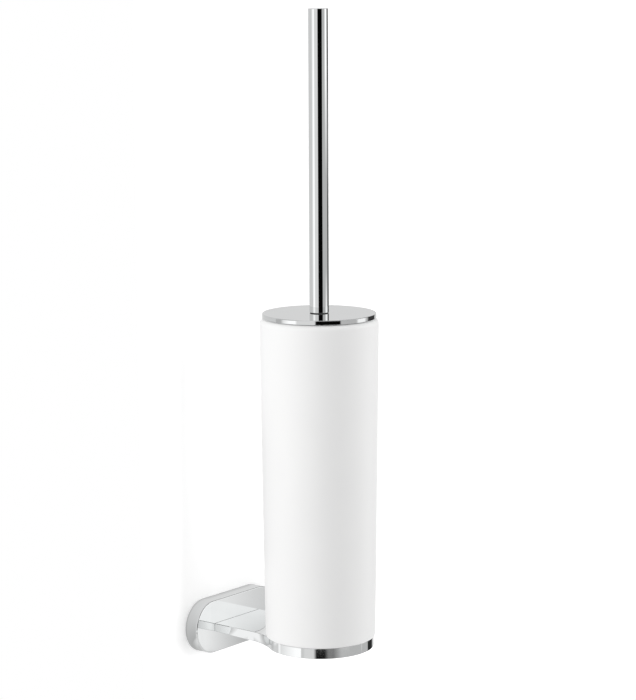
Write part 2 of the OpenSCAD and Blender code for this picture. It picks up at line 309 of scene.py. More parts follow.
bristle_nylon = surface(
    "bristle_nylon", rgb(0.88, 0.88, 0.86), rgb(0.80, 0.80, 0.78), metallic=0.0,
    roughness=0.38, spread=0.08, smudge=160, grain=3000, depth=4e-6)


def dress(piece, body, material, slot, *nodes):
    """Gives a new piece its material and body, and hides the CAD nodes that it stands for; slot is not used."""
    piece.data.materials.append(material)
    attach(piece, body)
    if nodes:
        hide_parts(*nodes)
    return piece


def finish_node(node, material):
    """Gives a CAD node that stays in view its procedural material."""
    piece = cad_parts[node]
    for material_slot in piece.material_slots:
        material_slot.material = material


# ---------------------------------------------------------------- wall rosette

low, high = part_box("rosette")
ROSETTE_R = (high.z - low.z) / 2
ROSETTE_RUN = (high.x - low.x) / 2 - ROSETTE_R
ROSETTE_DEPTH = -low.y
ROSETTE_EDGE = 0.8 * MM
ROSETTE_WALL = 3 * MM
POCKET_DEPTH = ROSETTE_DEPTH - 3.4 * MM
ROSETTE_SIDE = ROSETTE_DEPTH - ROSETTE_EDGE     # where the flat side band ends
GRUB_OUT = 2.5 * MM      # the grub screw's hole, out from the wall
GRUB_R = 1.8 * MM
GRUB_STEPS = 32
HOOK_HALF = 20 * MM
HOOK_THICK = 1.6 * MM
HOOK_SUNK = 0.3 * MM     # how far the rib runs into the shell


def rosette_shell():
    """The hollow cover without its flat under side, which has the hole."""
    r, w, t, e = ROSETTE_R, ROSETTE_WALL, ROSETTE_DEPTH, ROSETTE_EDGE
    section = (
        line((r - w, 0), (r, 0))
        + line((r, 0), (r, t - e))
        + arc(r - e, t - e, e, 0, 90, 8)
        + line((r - e, t), (0, t))
        + line((0, POCKET_DEPTH), (r - w, POCKET_DEPTH), (r - w, 0))
    )
    places = stadium(ROSETTE_RUN, 64)
    bottom_run = len(places) - 1
    holed = (1, len(section) - 1)
    return spin_parts(section, places, OFF_WALL, lambda place, run: place == bottom_run and run in holed)


def rectangle_with_hole(z, height, facing):
    """The rosette's flat under side, outside or inside, with the grub screw's hole."""
    angles = [math.pi / 2 - 2 * math.pi * i / GRUB_STEPS for i in range(GRUB_STEPS + 1)]
    rim = [(GRUB_R * math.cos(a), GRUB_OUT + GRUB_R * math.sin(a)) for a in angles]
    half = GRUB_STEPS // 2
    right = [(0, height), *rim[:half + 1], (0, 0), (ROSETTE_RUN, 0), (ROSETTE_RUN, height)]
    left = [(0, 0), *rim[half:], (0, height), (-ROSETTE_RUN, height), (-ROSETTE_RUN, 0)]
    verts = [Vector((x, -out, z)) for x, out in right + left]
    faces = [list(range(len(right))), list(range(len(right), len(verts)))]
    if facing > 0:
        faces = [face[::-1] for face in faces]
    return verts, faces, [Vector((0, 0, facing))] * len(verts)


def grub_hole():
    """The wall of the grub screw's hole."""
    verts, faces, normals = [], [], []
    for i in range(GRUB_STEPS):
        a = 2 * math.pi * i / GRUB_STEPS
        for z in (-ROSETTE_R, -ROSETTE_R + ROSETTE_WALL):
            verts.append(Vector((GRUB_R * math.cos(a), -GRUB_OUT - GRUB_R * math.sin(a), z)))
    for i in range(GRUB_STEPS):
        j = (i + 1) % GRUB_STEPS
        faces.append([2 * i, 2 * i + 1, 2 * j + 1, 2 * j])
        for k in (i, i, j, j):
            a = 2 * math.pi * k / GRUB_STEPS
            normals.append(Vector((-math.cos(a), math.sin(a), 0)))
    return verts, faces, normals


def hook_rib():
    """The rib inside the rosette that hangs on the wall plate."""
    top = ROSETTE_R - ROSETTE_WALL
    box = (-HOOK_HALF, HOOK_HALF), (-HOOK_THICK, 0), (top - HOOK_THICK, top + HOOK_SUNK)
    verts, faces, normals = [], [], []
    for axis, ends in enumerate(box):
        others = [k for k in range(3) if k != axis]
        for side, at in zip((-1, 1), ends):
            corners = []
            for a, b in ((0, 0), (1, 0), (1, 1), (0, 1)):
                point = [0, 0, 0]
                point[axis] = at
                point[others[0]] = box[others[0]][a]
                point[others[1]] = box[others[1]][b]
                corners.append(Vector(point))
            normal = Vector([side if k == axis else 0 for k in range(3)])
            if (corners[1] - corners[0]).cross(corners[2] - corners[1]).dot(normal) < 0:
                corners.reverse()
            faces.append(list(range(len(verts), len(verts) + 4)))
            verts += corners
            normals += [normal] * 4
    return verts, faces, normals


rosette = welded(mesh_piece("rosette_cover", *joined(
    rosette_shell(),
    rectangle_with_hole(-ROSETTE_R, ROSETTE_SIDE, -1),
    rectangle_with_hole(-ROSETTE_R + ROSETTE_WALL, POCKET_DEPTH, 1),
    grub_hole(),
    hook_rib(),
)))
dress(rosette, "bracket", chrome, "chrome", "rosette")


# ---------------------------------------------------------------- support arm and ring

low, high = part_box("support_arm")
RING_R = (high.x - low.x) / 2
RING_BOTTOM, ARM_TOP = low.z, high.z
ARM_HALF = 25.5 * MM
ARM_ROOT_BOTTOM = ARM_TOP - 6.1 * MM
ARM_EDGE = 0.35 * MM
SHARP_ANGLE = 35         # degrees from which an edge is rounded
BLEND_R = 40 * MM        # the hollow curve from the arm to the ring
RING_BORE_R = 31 * MM
RECESS_R = 35.65 * MM
RECESS_Z = ARM_TOP - 1.0 * MM


def support_arm():
    """The flat arm that widens into the ring, thinner towards the ring, with a recess for the seat bush."""
    axis_y = AXIS.y
    blend_x = ARM_HALF + BLEND_R
    run = math.sqrt((RING_R + BLEND_R) ** 2 - blend_x ** 2)
    blend_y = axis_y + run
    swing = math.degrees(math.atan2(run, blend_x))
    fold_y = axis_y + RING_R * math.sin(math.radians(swing))

    def polar(x, y, radius, start, end, steps):
        """Points on an arc round (x, y), in degrees."""
        points = []
        for i in range(steps + 1):
            a = math.radians(start + (end - start) * i / steps)
            points.append((x + radius * math.cos(a), y + radius * math.sin(a)))
        return points

    root_y = -ROSETTE_DEPTH
    side = [(ARM_HALF, root_y)]
    side += [(ARM_HALF, root_y + (blend_y - root_y) * i / 4) for i in range(1, 4)]
    side += polar(blend_x, blend_y, BLEND_R, 180, 180 + swing, 20)
    fold = len(side) - 1
    side += polar(0, axis_y, RING_R, swing, -90, 48)[1:]
    bore_fold = math.degrees(math.asin((fold_y - axis_y) / RING_BORE_R))
    bore_at = 48
    bore = polar(0, axis_y, RING_BORE_R, -90, bore_fold, bore_at)
    bore += polar(0, axis_y, RING_BORE_R, bore_fold, 90, 16)[1:]
    recess = polar(0, axis_y, RECESS_R, -90, 90, 64)

    def under(y):
        """Height of the under side, which slopes from the wall to the fold and is level beyond it."""
        share = min(1.0, (root_y - y) / (root_y - fold_y))
        return ARM_ROOT_BOTTOM + (RING_BOTTOM - ARM_ROOT_BOTTOM) * share

    bm = bmesh.new()
    known = {}

    def vertex(x, y, z):
        """The vertex at this place, made when it is first asked for."""
        key = tuple(round(k * WELD_GRID) for k in (x, y, z))
        if key not in known:
            known[key] = bm.verts.new((x, y, z))
        return known[key]

    def face(points, mirrored):
        """A face on the right half, or its mirror image on the left."""
        if mirrored:
            points = [(-x, y, z) for x, y, z in reversed(points)]
        bm.faces.new([vertex(*p) for p in points])

    for mirrored in (False, True):
        top = [(0, root_y), *side, *recess]
        face([(x, y, ARM_TOP) for x, y in reversed(top)], mirrored)
        sloped = [(0, root_y), *side[:fold + 1], *bore[bore_at:]]
        face([(x, y, under(y)) for x, y in sloped], mirrored)
        level = [*side[fold:], *bore[:bore_at + 1]]
        face([(x, y, RING_BOTTOM) for x, y in level], mirrored)
        face([(0, root_y, under(root_y)), (0, root_y, ARM_TOP), (ARM_HALF, root_y, ARM_TOP),
              (ARM_HALF, root_y, under(root_y))], mirrored)
        for (x0, y0), (x1, y1) in zip(side, side[1:]):
            face([(x0, y0, under(y0)), (x0, y0, ARM_TOP), (x1, y1, ARM_TOP), (x1, y1, under(y1))], mirrored)
        for (x0, y0), (x1, y1) in zip(recess, recess[1:]):
            face([(x0, y0, RECESS_Z), (x0, y0, ARM_TOP), (x1, y1, ARM_TOP), (x1, y1, RECESS_Z)], mirrored)
        shelf = [*recess, *reversed(bore)]
        face([(x, y, RECESS_Z) for x, y in shelf], mirrored)
        for (x0, y0), (x1, y1) in zip(bore, bore[1:]):
            face([(x0, y0, under(y0)), (x0, y0, RECESS_Z), (x1, y1, RECESS_Z), (x1, y1, under(y1))], mirrored)
    bmesh.ops.recalc_face_normals(bm, faces=bm.faces)
    mesh = bpy.data.meshes.new("arm_and_ring")
    bm.to_mesh(mesh)
    bm.free()
    mesh.shade_smooth()
    piece = bpy.data.objects.new("arm_and_ring", mesh)
    scene.collection.objects.link(piece)
    edge = piece.modifiers.new("soft_edges", "BEVEL")
    edge.width = ARM_EDGE
    edge.segments = 3
    edge.limit_method = "ANGLE"
    edge.angle_limit = math.radians(SHARP_ANGLE)
    edge.harden_normals = True
    return piece


dress(support_arm(), "bracket", chrome, "chrome", "support_arm")


# ---------------------------------------------------------------- seat bush

low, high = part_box("seat_bush")
BUSH_BORE_R = 29.4 * MM
FLANGE_R = (high.x - low.x) / 2
SEAT_Z = high.z
FLANGE_EDGE = 0.3 * MM
MOUTH_EDGE = 0.4 * MM
bush = lathe("seat_bush_liner", (
    line((BUSH_BORE_R, low.z), (RING_BORE_R, low.z), (RING_BORE_R, RECESS_Z), (FLANGE_R, RECESS_Z),
         (FLANGE_R, SEAT_Z - FLANGE_EDGE))
    + arc(FLANGE_R - FLANGE_EDGE, SEAT_Z - FLANGE_EDGE, FLANGE_EDGE, 0, 90, 4)
    + line((FLANGE_R - FLANGE_EDGE, SEAT_Z), (BUSH_BORE_R + MOUTH_EDGE, SEAT_Z))
    + arc(BUSH_BORE_R + MOUTH_EDGE, SEAT_Z - MOUTH_EDGE, MOUTH_EDGE, 90, 180, 4)
    + line((BUSH_BORE_R, SEAT_Z - MOUTH_EDGE), (BUSH_BORE_R, low.z))
))
dress(bush, "bracket", bush_plastic, "bush_plastic", "seat_bush")


# ---------------------------------------------------------------- tumbler

low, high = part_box("tumbler")
RIM_Z = high.z
FOOT_Z = low.z
BOTTOM_R = 40 * MM
WALL = 4.6 * MM
FLOOR = 6 * MM
EDGE = 1 * MM
RIM_EDGE = 3.85 * MM
RIM_INNER = 0.6 * MM
HOLLOW = 4 * MM
FOOT_R = 29.1 * MM
FOOT_WALL = 5 * MM
TUMBLER_H = RIM_Z - SEAT_Z
TAPER = ((high.x - low.x) / 2 - BOTTOM_R) / (TUMBLER_H - RIM_EDGE)
LEAN = math.degrees(math.atan(TAPER))


def tumbler_r(height):
    """The tumbler's outer radius at a height above its seat."""
    return BOTTOM_R + TAPER * height


def tumbler():
    """A hollow, slightly conical tumbler with a thick rounded rim and a foot that stands in the bush."""
    z = SEAT_Z
    soft = 0.6 * MM
    inner_r = tumbler_r(FLOOR) - WALL - HOLLOW
    mouth_r = tumbler_r(TUMBLER_H) - WALL
    low_edge = (tumbler_r(EDGE) - EDGE, z + EDGE)
    rim_edge = (tumbler_r(TUMBLER_H - RIM_EDGE) - RIM_EDGE, RIM_Z - RIM_EDGE)

    def on(centre, radius, degrees):
        """The point of a rounding where it meets a straight run."""
        a = math.radians(degrees)
        return centre[0] + radius * math.cos(a), centre[1] + radius * math.sin(a)

    inner_low = (inner_r, z + FLOOR + HOLLOW)
    mouth = (mouth_r + RIM_INNER, RIM_Z - RIM_INNER)
    section = (
        line((FOOT_R - FOOT_WALL, FOOT_Z + soft), (FOOT_R - FOOT_WALL + soft, FOOT_Z),
             (FOOT_R - soft, FOOT_Z))
        + arc(FOOT_R - soft, FOOT_Z + soft, soft, -90, 0, 4)
        + line((FOOT_R, FOOT_Z + soft), (FOOT_R, z), (low_edge[0], z))
        + arc(*low_edge, EDGE, -90, -LEAN, 12)
        + line(on(low_edge, EDGE, -LEAN), on(rim_edge, RIM_EDGE, -LEAN))
        + arc(*rim_edge, RIM_EDGE, -LEAN, 90, 12)
        + line((rim_edge[0], RIM_Z), (mouth[0], RIM_Z))
        + arc(*mouth, RIM_INNER, 90, 180, 8)
        + line(on(mouth, RIM_INNER, 180), on(inner_low, HOLLOW, -LEAN))
        + arc(*inner_low, HOLLOW, -LEAN, -90, 10)
        + line((inner_r, z + FLOOR), (0, z + FLOOR))
        + line((0, z + FLOOR - FOOT_WALL), (FOOT_R - FOOT_WALL, z + FLOOR - FOOT_WALL),
               (FOOT_R - FOOT_WALL, FOOT_Z + soft))
    )
    return lathe("tumbler_satin", section, 256)


dress(tumbler(), "tumbler", satin_glass, "satin_glass", "tumbler")


# ---------------------------------------------------------------- lid

LID_R = radius_of("lid_disc")
LID_Z, LID_TOP = span_of("lid_disc")
LID_EDGE = 0.6 * MM
BORE_R = 3.2 * MM
BEVEL_IN, BEVEL_UP = 1.4 * MM, 0.45 * MM
BEVEL_EDGE = 0.1 * MM
BEVEL_TOP = LID_Z + BEVEL_UP
lid = lathe("lid_plate", (
    line((BORE_R, LID_Z), (LID_R - BEVEL_IN, LID_Z), (LID_R - BEVEL_EDGE, BEVEL_TOP))
    + arc(LID_R - BEVEL_EDGE, BEVEL_TOP + BEVEL_EDGE, BEVEL_EDGE, -90, 0, 4)
    + line((LID_R, BEVEL_TOP + BEVEL_EDGE), (LID_R, LID_TOP - LID_EDGE))
    + arc(LID_R - LID_EDGE, LID_TOP - LID_EDGE, LID_EDGE, 0, 90, 10)
    + line((LID_R - LID_EDGE, LID_TOP), (BORE_R, LID_TOP), (BORE_R, LID_Z))
), 256)
dress(lid, "brush", chrome, "chrome", "lid_disc")

CAP_R = radius_of("lid_centring_cap")
cap_low, cap_high = span_of("lid_centring_cap")
SKIRT = 2.4 * MM
WEB = 1.2 * MM
SKIRT_IN, SKIRT_OUT = 0.5 * MM, 0.8 * MM     # the roundings of the skirt's lower edges
cap = lathe("lid_cap", (
    line((BORE_R, cap_high - WEB), (CAP_R - SKIRT, cap_high - WEB), (CAP_R - SKIRT, cap_low + SKIRT_IN))
    + arc(CAP_R - SKIRT + SKIRT_IN, cap_low + SKIRT_IN, SKIRT_IN, 180, 270, 4)
    + line((CAP_R - SKIRT + SKIRT_IN, cap_low), (CAP_R - SKIRT_OUT, cap_low))
    + arc(CAP_R - SKIRT_OUT, cap_low + SKIRT_OUT, SKIRT_OUT, -90, 0, 6)
    + line((CAP_R, cap_low + SKIRT_OUT), (CAP_R, cap_high), (BORE_R, cap_high), (BORE_R, cap_high - WEB))
), 192)
dress(cap, "brush", white_plastic, "white_plastic", "lid_centring_cap")

washer_r = radius_of("lid_washer")
washer_low, washer_high = span_of("lid_washer")
WASHER_EDGE = 0.2 * MM
washer = lathe("lid_washer_ring", (
    line((BORE_R, washer_low), (washer_r - WASHER_EDGE, washer_low))
    + arc(washer_r - WASHER_EDGE, washer_low + WASHER_EDGE, WASHER_EDGE, -90, 0, 4)
    + line((washer_r, washer_low + WASHER_EDGE), (washer_r, washer_high - WASHER_EDGE))
    + arc(washer_r - WASHER_EDGE, washer_high - WASHER_EDGE, WASHER_EDGE, 0, 90, 4)
    + line((washer_r - WASHER_EDGE, washer_high), (BORE_R, washer_high), (BORE_R, washer_low))
), 96)
dress(washer, "brush", polished_steel, "polished_steel", "lid_washer")


NUT_STEPS = 120
NUT_FACE = 0.985         # the flat end's radius, as a share of half the width across flats
NUT_CHAMFER = 30         # degrees


def hex_nut(name, node, across, bore):
    """A hexagon nut with the corners cut back by a cone at both ends."""
    bottom, top = span_of(node)
    flat = across / 2
    end_r = flat * NUT_FACE
    verts, faces = [], []
    for i in range(NUT_STEPS):
        a = 2 * math.pi * i / NUT_STEPS
        off = (math.degrees(a) + 30) % 60 - 30
        r = flat / math.cos(math.radians(off))
        cut = (r - end_r) * math.tan(math.radians(NUT_CHAMFER))
        outline = ((bore, bottom), (end_r, bottom), (r, bottom + cut),
                   (r, top - cut), (end_r, top), (bore, top))
        for radius, z in outline:
            verts.append(FROM_AXIS @ Vector((radius * math.cos(a), radius * math.sin(a), z)))
    count = len(outline)
    for i in range(NUT_STEPS):
        j = (i + 1) % NUT_STEPS
        for k in range(count):
            m = (k + 1) % count
            faces.append([count * i + k, count * j + k, count * j + m, count * i + m])
    piece = mesh_piece(name, verts, faces)
    piece.data.set_sharp_from_angle(angle=math.radians(20))
    return piece


nut = hex_nut("lock_nut_hex", "lock_nut", across=10 * MM, bore=3 * MM)
dress(nut, "brush", polished_steel, "polished_steel", "lock_nut")


# ---------------------------------------------------------------- handle

HANDLE_R = radius_of("handle_tube")
tube_low, tube_high = span_of("handle_tube")
HANDLE_TOP = span_of("handle_end_cap")[1]
HANDLE_BORE = HANDLE_R - 1.2 * MM
TUBE_EDGE = 0.15 * MM
handle = lathe("handle_rod", (
    line((HANDLE_BORE, tube_low), (HANDLE_R - TUBE_EDGE, tube_low))
    + arc(HANDLE_R - TUBE_EDGE, tube_low + TUBE_EDGE, TUBE_EDGE, -90, 0, 4)
    + line((HANDLE_R, tube_low + TUBE_EDGE), (HANDLE_R, tube_high), (HANDLE_BORE, tube_high),
           (HANDLE_BORE, tube_low))
), 192)
dress(handle, "brush", chrome, "chrome", "handle_tube")

PLUG_Z = tube_high - 8 * MM
END_EDGE = 0.35 * MM
end_cap = lathe("handle_end", (
    line((0, PLUG_Z), (HANDLE_BORE, PLUG_Z), (HANDLE_BORE, tube_high), (HANDLE_R, tube_high),
         (HANDLE_R, HANDLE_TOP - END_EDGE))
    + arc(HANDLE_R - END_EDGE, HANDLE_TOP - END_EDGE, END_EDGE, 0, 90, 6)
    + line((HANDLE_R - END_EDGE, HANDLE_TOP), (0, HANDLE_TOP))
), 192)
dress(end_cap, "brush", chrome, "chrome", "handle_end_cap")


# ---------------------------------------------------------------- stem and brush

STEM_R = radius_of("stem_tube")
STEM_BORE = STEM_R - 1 * MM
stem_low, stem_high = span_of("stem_tube")
stem = lathe("stem_rod", (
    line((STEM_BORE, stem_low), (STEM_R, stem_low), (STEM_R, stem_high - TUBE_EDGE))
    + arc(STEM_R - TUBE_EDGE, stem_high - TUBE_EDGE, TUBE_EDGE, 0, 90, 4)
    + line((STEM_R - TUBE_EDGE, stem_high), (STEM_BORE, stem_high), (STEM_BORE, stem_low))
), 96)
dress(stem, "brush", chrome, "chrome", "stem_tube")

CORE_R = 9 * MM
core_low, core_high = span_of("brush_core")
CORE_Z = core_low + CORE_R
CORE_TOP = CORE_Z + 68 * MM
NECK_R = 7.5 * MM
NECK_EDGE = 1.2 * MM
NARROW_FROM, NARROW_TO = CORE_TOP + 2 * MM, CORE_TOP + 8 * MM     # where the core narrows to the neck
core = lathe("brush_head_core", (
    arc(0, CORE_Z, CORE_R, -90, 0, 16)
    + line((CORE_R, CORE_Z), (CORE_R, NARROW_FROM))
    + line((CORE_R, NARROW_FROM), (NECK_R, NARROW_TO), (NECK_R, core_high - NECK_EDGE))
    + arc(NECK_R - NECK_EDGE, core_high - NECK_EDGE, NECK_EDGE, 0, 90, 6)
    + line((NECK_R - NECK_EDGE, core_high), (STEM_R, core_high), (STEM_R, stem_low), (0, stem_low))
), 96)
dress(core, "brush", white_plastic, "white_plastic", "brush_core")

SLEEVE_R = CORE_R + 1.5 * MM
SLEEVE_EDGE = 0.5 * MM
sleeve = lathe("bristle_sleeve", (
    arc(0, CORE_Z, SLEEVE_R, -90, 0, 16)
    + line((SLEEVE_R, CORE_Z), (SLEEVE_R, CORE_TOP - SLEEVE_EDGE))
    + arc(SLEEVE_R - SLEEVE_EDGE, CORE_TOP - SLEEVE_EDGE, SLEEVE_EDGE, 0, 90, 4)
    + line((SLEEVE_R - SLEEVE_EDGE, CORE_TOP), (CORE_R, CORE_TOP))
), 96)
dress(sleeve, "brush", white_plastic, "white_plastic", "bristles")

BRUSH_R = 33 * MM
ROWS, PER_ROW, END_TUFTS = 8, 14, 8
FILAMENTS = 26
FILAMENT_R = 0.17 * MM
FILAMENT_PARTS, FILAMENT_SIDES = 3, 3
ROOT_SPREAD, TIP_SPREAD = 1.0 * MM, 2.3 * MM
FLARE = 1.5              # power of the way along, for the fan
BEND = 0.5 * MM
UNEVEN = 0.9 * MM        # how much shorter a filament can be
THINNER = 0.35           # share of its radius that a filament loses to the tip
TUFT_ROOT = CORE_R + 0.4 * MM
TUFT_REACH = BRUSH_R - 0.25 * MM
END_REACH, TIP_REACH = 21 * MM, 16 * MM      # the slanted tufts at the end, and the one straight down
ROW_MARGIN = 4 * MM


def tuft(rng, verts, faces, origin, way, start, reach):
    """A bundle of nylon filaments along way, which fans out and bends a little towards the tips."""
    side = way.orthogonal().normalized()
    other = way.cross(side)
    for _ in range(FILAMENTS):
        spread = math.sqrt(rng.random())
        turn = rng.random() * 2 * math.pi
        across = side * math.cos(turn) + other * math.sin(turn)
        bend = (side * rng.uniform(-1, 1) + other * rng.uniform(-1, 1)) * BEND
        end = reach - rng.random() * UNEVEN
        first = len(verts)
        for step in range(FILAMENT_PARTS + 1):
            t = step / FILAMENT_PARTS
            out = spread * (ROOT_SPREAD + (TIP_SPREAD - ROOT_SPREAD) * t ** FLARE)
            centre = origin + way * (start + (end - start) * t) + across * out + bend * t * t
            radius = FILAMENT_R * (1 - THINNER * t)
            for k in range(FILAMENT_SIDES):
                a = 2 * math.pi * k / FILAMENT_SIDES + turn
                verts.append(centre + (side * math.cos(a) + other * math.sin(a)) * radius)
        for step in range(FILAMENT_PARTS):
            a = first + FILAMENT_SIDES * step
            b = a + FILAMENT_SIDES
            for k in range(FILAMENT_SIDES):
                m = (k + 1) % FILAMENT_SIDES
                faces.append([a + k, a + m, b + m, b + k])
        faces.append(list(range(len(verts) - FILAMENT_SIDES, len(verts))))


def bristles():
    """Staggered rows of tufts round the core, and a few more at its lower end."""
    rng = random.Random(7)
    verts, faces = [], []
    pitch = (CORE_TOP - CORE_Z - 2 * ROW_MARGIN) / (ROWS - 1)
    for row in range(ROWS):
        for i in range(PER_ROW):
            a = 2 * math.pi * (i + (row % 2) / 2) / PER_ROW
            origin = AXIS + Vector((0, 0, CORE_Z + ROW_MARGIN + row * pitch))
            tuft(rng, verts, faces, origin, Vector((math.cos(a), math.sin(a), 0)), TUFT_ROOT, TUFT_REACH)
    origin = AXIS + Vector((0, 0, CORE_Z))
    for i in range(END_TUFTS):
        a = 2 * math.pi * i / END_TUFTS
        way = Vector((math.cos(a), math.sin(a), -1)).normalized()
        tuft(rng, verts, faces, origin, way, TUFT_ROOT, END_REACH)
    tuft(rng, verts, faces, origin, Vector((0, 0, -1)), TUFT_ROOT, TIP_REACH)
    return mesh_piece("bristle_tufts", verts, faces)


dress(bristles(), "brush", bristle_nylon, "bristle_nylon", "bristles")


# ---------------------------------------------------------------- CAD nodes that stay in view

finish_node("wall_plate", brushed_steel)
for node in ("grub_screw", "arm_screws", "threaded_stud", "handle_insert", "stem_top_plug",
             "stem_lower_plug"):
    finish_node(node, polished_steel)
# the handle washer in black: painted shade for the shadow line at the handle's base
finish_node("handle_washer", black_nylon)


# ---------------------------------------------------------------- stage: wall, floor and a glowing strip for a painted reflection

WALL_Y = 0.0003          # just behind the rosette's back, so that they don't share a plane
WALL_LEFT, WALL_RIGHT, WALL_TOP = -0.09, 0.6, 1.0
FLOOR_Z = -0.45
FLOOR_R = 1.2
# where the glowing strip of painted reflection stands, round the tumbler's foot
GLOW_STRIP_Z = ARM_TOP + 0.4 * MM, ARM_TOP + 36 * MM
GLOW_STRIP_R = tumbler_r(TUMBLER_H / 8) + 0.5 * MM
GLOW_STRIP_WAYS = range(10, 171, 8)       # degrees round the axis, on the wall's side


def stage_sheet(name, verts, faces, lift, gleam, colour=0.95):
    """A one-sided pale sheet that still takes the object's shadow.

    lift is the white that the camera sees on it besides its own light, and gleam is its brightness in
    polished metal. Both are functions of the node helper and the position.
    """
    made = bpy.data.materials.new(name)
    made.use_nodes = True
    n = Nodes(made.node_tree)
    path = n.add("ShaderNodeLightPath").outputs
    place = n.add("ShaderNodeNewGeometry").outputs
    cloud = n.add("ShaderNodeTexNoise", Vector=place["Position"], Scale=3.0)
    tone = n.mix(n.scaled(cloud, 0.3, 0.7), rgb(colour), rgb(colour - 0.01))
    lit = n.add("ShaderNodeAddShader")
    n.put(lit.inputs[0], n.add("ShaderNodeBsdfDiffuse", Color=tone))
    seen_lift = n.math("MULTIPLY", path["Is Camera Ray"], lift(n, place["Position"]))
    n.put(lit.inputs[1], n.add("ShaderNodeEmission", Color=rgb(1.0), Strength=seen_lift))
    seen = n.add("ShaderNodeMixShader", Fac=path["Is Glossy Ray"])
    n.put(seen.inputs[1], lit)
    n.put(seen.inputs[2], n.add("ShaderNodeEmission", Color=rgb(1.0), Strength=gleam(n, place["Position"])))
    front = n.add("ShaderNodeMixShader", Fac=place["Backfacing"])
    n.put(front.inputs[1], seen)
    n.put(front.inputs[2], n.add("ShaderNodeBsdfTransparent"))
    n.add("ShaderNodeOutputMaterial", Surface=front)
    piece = mesh_piece(name, verts, faces)
    piece.data.materials.append(made)
    piece.visible_shadow = False
    piece.visible_diffuse = False
    return piece


def steady(brightness):
    """A lift or gleam that is the same everywhere."""
    return lambda n, position: brightness


def wall_gleam(n, position):
    """How bright the wall looks in the chrome, with painted shade: a painted contact shadow round the rosette,
    a painted shadow of the tumbler above it, and mostly bright farther out.
    """
    at = n.add("ShaderNodeSeparateXYZ", Vector=position).outputs
    x, z = at["X"], at["Z"]

    # distance from the line that the rosette's outline is drawn round, longer below it
    beyond = n.math("MAXIMUM", n.math("SUBTRACT", n.math("ABSOLUTE", x), ROSETTE_RUN), 0.0)
    rise = n.math("MAXIMUM", z, n.math("MULTIPLY", z, -1.3))
    reach = n.math("SQRT", n.math("ADD", n.math("POWER", beyond, 2.0), n.math("POWER", rise, 2.0)))

    # near the rosette, painted shade: darker low down at its left end, and a painted contact shadow darkest
    # right at its edge
    by_height = n.scaled(z, -22 * MM, 28 * MM, 0.47, 0.86)
    off_left_end = n.scaled(x, -34 * MM, -26 * MM, 0.0, 0.8)
    contact = n.scaled(reach, ROSETTE_R, ROSETTE_R + 2.2 * MM, 0.72, 1.0)
    near = n.math("MULTIPLY", n.math("MAXIMUM", by_height, off_left_end), contact)

    # farther out: dimmer below the rosette, a painted shadow, except at the wall's left edge, and fading
    # upwards
    below = n.scaled(z, -24 * MM, -20.5 * MM, 0.80, 1.15)
    left_edge = n.scaled(x, -76 * MM, -70 * MM, 1.15, 0.0)
    upwards = n.scaled(z, 0.0, 0.16, 1.15, 0.74)
    far = n.math("MINIMUM", n.math("MAXIMUM", below, left_edge), upwards)

    # a painted shadow of the tumbler: a dark band on the left, above the rosette
    shadow_from = n.scaled(z, 34 * MM, 42 * MM, 0.0, 0.85)
    shadow_to = n.scaled(z, 130 * MM, 170 * MM, 1.0, 0.0)
    on_left = n.scaled(x, 0.0, 10 * MM, 1.0, 0.0)
    tumbler_shadow = n.math("MULTIPLY", n.math("MULTIPLY", shadow_from, shadow_to), on_left)
    far = n.math("MULTIPLY", far, n.math("SUBTRACT", 1.0, tumbler_shadow))

    # the change from near to far starts closer to the rosette below it
    shift = n.scaled(z, -16 * MM, -13 * MM, -2.5 * MM, 2 * MM)
    outer = n.scaled(n.math("SUBTRACT", reach, shift), ROSETTE_R + 9 * MM, ROSETTE_R + 22 * MM)
    return n.blend(outer, near, far)


def wall_lift(n, position):
    """The white that the camera sees on the wall, painted light that varies: more low down, where it pales the
    shade under the rosette, and more towards its left edge, where it fades the wall's shade out.
    """
    at = n.add("ShaderNodeSeparateXYZ", Vector=position).outputs
    low = n.scaled(at["Z"], -30 * MM, -8 * MM, 0.50, 0.24)
    end = n.scaled(at["X"], WALL_LEFT, -46 * MM, 0.55, 0.0)
    return n.math("ADD", low, end)


def glow_strip_shape():
    """Vertices and faces of a strip round the holder's axis, faces towards the wall."""
    ways = [math.radians(a) for a in GLOW_STRIP_WAYS]
    verts = [AXIS + Vector((GLOW_STRIP_R * math.cos(a), GLOW_STRIP_R * math.sin(a), z))
             for a in ways for z in GLOW_STRIP_Z]
    faces = [(2 * i, 2 * i + 2, 2 * i + 3, 2 * i + 1) for i in range(len(ways) - 1)]
    return verts, faces


wall_corners = [(WALL_LEFT, WALL_Y, FLOOR_Z), (WALL_RIGHT, WALL_Y, FLOOR_Z),
                (WALL_RIGHT, WALL_Y, WALL_TOP), (WALL_LEFT, WALL_Y, WALL_TOP)]
stage_sheet("wall", wall_corners, [range(4)], wall_lift, wall_gleam)

floor_ring = [(FLOOR_R * c, FLOOR_R * s, FLOOR_Z) for _, c, s in circle(96)]
stage_sheet("floor", floor_ring, [range(96)], steady(0.5), steady(0.8))

# A glowing strip round the tumbler's foot on the wall's side, seen only in the chrome that mirrors that side: a
# painted reflection that stands in for that side of the tumbler. The camera doesn't see it.
reflection_glow = stage_sheet("reflection_glow", *glow_strip_shape(), steady(0.5), steady(1.35))
reflection_glow.visible_camera = False


# ---------------------------------------------------------------- studio: reflections and lamps

CAMERA_AZIMUTH = -51.47
CAMERA_ELEVATION = 8.985
CAMERA_ROLL = -0.242
CAMERA_DISTANCE = 1.6946
CAMERA_LENS = 121.79
AIM = Vector((-0.0006, -0.0902, 0.2121))

